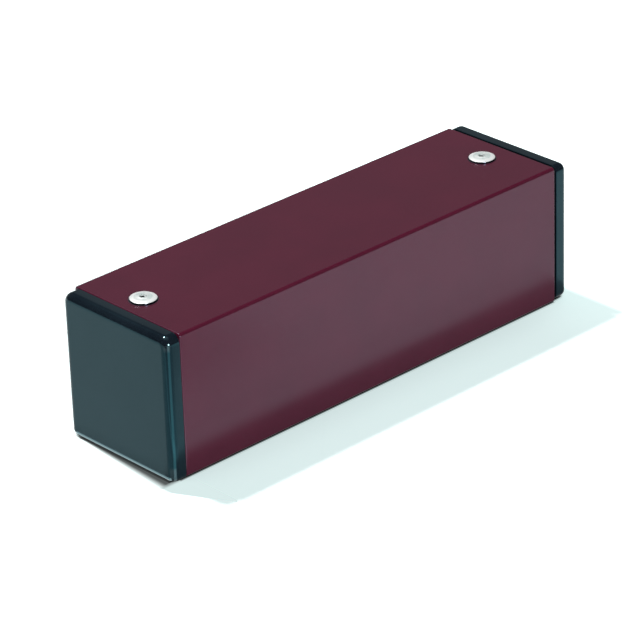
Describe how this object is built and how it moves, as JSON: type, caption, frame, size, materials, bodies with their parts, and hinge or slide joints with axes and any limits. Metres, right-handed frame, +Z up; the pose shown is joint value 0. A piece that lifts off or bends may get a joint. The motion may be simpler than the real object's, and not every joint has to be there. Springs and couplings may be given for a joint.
{
  "type": "percussion shaker",
  "caption": "Square tube shaker: burgundy aluminium tube closed by black plastic plug caps held by blind rivets, with loose steel shot inside",
  "frame": {"origin": "under the middle of the whole length, on the surface that the shaker lies on", "axes": "X along the tube, with the left cap at -X; Y across it, to the back; Z up, to the riveted face"},
  "size_m": [0.1598, 0.0446, 0.0457],
  "materials": {
    "tube_finish": "burgundy anodised, satin",
    "cap_plastic": "black moulded, semi-gloss",
    "rivet_metal": "bright drawn",
    "mandrel_steel": "broken drawn wire",
    "shot_steel": "tumbled"
  },
  "bodies": {
    "shell": {"tube": "tube_finish", "left_cap": "cap_plastic", "right_cap": "cap_plastic", "left_rivet": "rivet_metal", "right_rivet": "rivet_metal", "left_mandrel": "mandrel_steel", "right_mandrel": "mandrel_steel"},
    "shot_1": {"shot_row_1": "shot_steel"},
    "shot_2": {"shot_row_2": "shot_steel"},
    "shot_3": {"shot_row_3": "shot_steel"},
    "shot_4": {"shot_row_4": "shot_steel"},
    "shot_5": {"shot_row_5": "shot_steel"},
    "shot_6": {"shot_row_6": "shot_steel"},
    "shot_7": {"shot_row_7": "shot_steel"},
    "shot_8": {"shot_row_8": "shot_steel"},
    "shot_9": {"shot_row_9": "shot_steel"},
    "shot_10": {"shot_row_10": "shot_steel"},
    "shot_11": {"shot_row_11": "shot_steel"},
    "shot_12": {"shot_row_12": "shot_steel"},
    "shot_13": {"shot_row_13": "shot_steel"}
  },
  "joints": [
    {"name": "shot_1_run", "type": "slide", "parent": "shell", "child": "shot_1", "axis": [1, 0, 0], "range_m": [-0.0344, 0.0344]},
    {"name": "shot_2_run", "type": "slide", "parent": "shell", "child": "shot_2", "axis": [1, 0, 0], "range_m": [-0.03595, 0.03595]},
    {"name": "shot_3_run", "type": "slide", "parent": "shell", "child": "shot_3", "axis": [1, 0, 0], "range_m": [-0.0344, 0.0344]},
    {"name": "shot_4_run", "type": "slide", "parent": "shell", "child": "shot_4", "axis": [1, 0, 0], "range_m": [-0.03595, 0.03595]},
    {"name": "shot_5_run", "type": "slide", "parent": "shell", "child": "shot_5", "axis": [1, 0, 0], "range_m": [-0.0344, 0.0344]},
    {"name": "shot_6_run", "type": "slide", "parent": "shell", "child": "shot_6", "axis": [1, 0, 0], "range_m": [-0.03595, 0.03595]},
    {"name": "shot_7_run", "type": "slide", "parent": "shell", "child": "shot_7", "axis": [1, 0, 0], "range_m": [-0.0344, 0.0344]},
    {"name": "shot_8_run", "type": "slide", "parent": "shell", "child": "shot_8", "axis": [1, 0, 0], "range_m": [-0.03595, 0.03595]},
    {"name": "shot_9_run", "type": "slide", "parent": "shell", "child": "shot_9", "axis": [1, 0, 0], "range_m": [-0.0344, 0.0344]},
    {"name": "shot_10_run", "type": "slide", "parent": "shell", "child": "shot_10", "axis": [1, 0, 0], "range_m": [-0.03595, 0.03595]},
    {"name": "shot_11_run", "type": "slide", "parent": "shell", "child": "shot_11", "axis": [1, 0, 0], "range_m": [-0.0344, 0.0344]},
    {"name": "shot_12_run", "type": "slide", "parent": "shell", "child": "shot_12", "axis": [1, 0, 0], "range_m": [-0.03595, 0.03595]},
    {"name": "shot_13_run", "type": "slide", "parent": "shell", "child": "shot_13", "axis": [1, 0, 0], "range_m": [-0.0344, 0.0344]}
  ]
}
